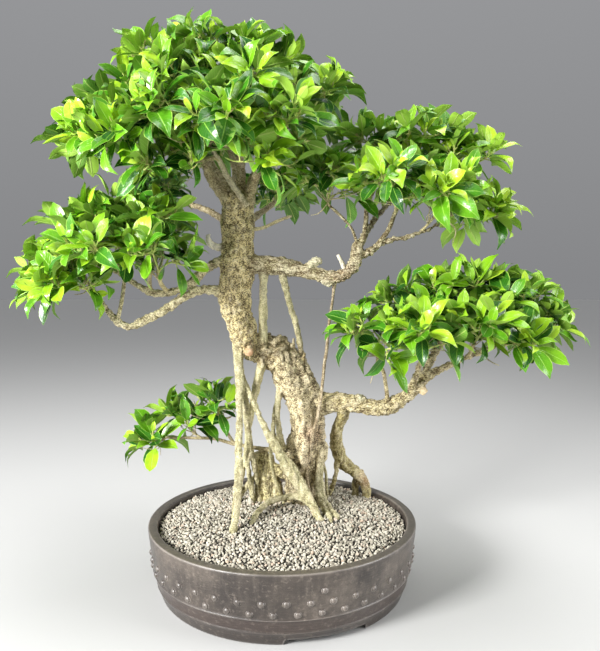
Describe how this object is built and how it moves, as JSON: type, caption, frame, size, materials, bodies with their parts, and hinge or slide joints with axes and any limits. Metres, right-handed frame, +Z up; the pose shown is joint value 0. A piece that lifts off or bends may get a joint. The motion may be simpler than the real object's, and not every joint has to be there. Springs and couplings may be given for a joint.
{
  "type": "bonsai tree",
  "caption": "Chinese banyan bonsai with a leaning trunk, hanging aerial roots and layered leaf pads, planted in grit in a round low clay pot.",
  "frame": {"origin": "under the middle of the bounding box, on the plane that the pot's feet stand on", "axes": "+Z up, +X to the right as the picture shows the tree, +Y away from the viewer, so -Y is the front"},
  "size_m": [0.8464, 0.4652, 0.8405],
  "materials": {
    "clay": "matte",
    "screen_plastic": "matte",
    "grit": "matte",
    "bark": "matte",
    "leaf": "satin"
  },
  "bodies": {
    "root": {"drain_screen": "screen_plastic", "grit": "grit", "pot": "clay", "spray_crown_back_left": "leaf", "spray_crown_back_low": "leaf", "spray_crown_back_middle": "leaf", "spray_crown_back_right": "leaf", "spray_crown_far_left": "leaf", "spray_crown_front_left": "leaf", "spray_crown_front_middle": "leaf", "spray_crown_front_right": "leaf", "spray_crown_left_front": "leaf", "spray_crown_left_high": "leaf", "spray_crown_low_left": "leaf", "spray_crown_low_right": "leaf", "spray_crown_right_high": "leaf", "spray_crown_top_left": "leaf", "spray_crown_top_middle": "leaf", "spray_crown_top_right": "leaf", "spray_crown_upper_left": "leaf", "spray_crown_upper_right": "leaf", "spray_left_back": "leaf", "spray_left_front": "leaf", "spray_left_front_inner": "leaf", "spray_left_high": "leaf", "spray_left_inner": "leaf", "spray_left_low": "leaf", "spray_left_middle": "leaf", "spray_left_tip": "leaf", "spray_low_left_inner": "leaf", "spray_low_left_middle": "leaf", "spray_low_left_tip": "leaf", "spray_low_right_back": "leaf", "spray_low_right_front": "leaf", "spray_low_right_front_outer": "leaf", "spray_low_right_left": "leaf", "spray_low_right_tip": "leaf", "spray_low_right_top": "leaf", "spray_low_right_top_left": "leaf", "spray_low_right_top_outer": "leaf", "spray_low_right_under": "leaf", "spray_rear_left": "leaf", "spray_rear_right": "leaf", "spray_right_back": "leaf", "spray_right_front": "leaf", "spray_right_front_outer": "leaf", "spray_right_left": "leaf", "spray_right_tip": "leaf", "spray_right_top": "leaf", "spray_right_top_left": "leaf", "spray_right_top_right": "leaf", "wood": "bark"}
  },
  "joints": []
}
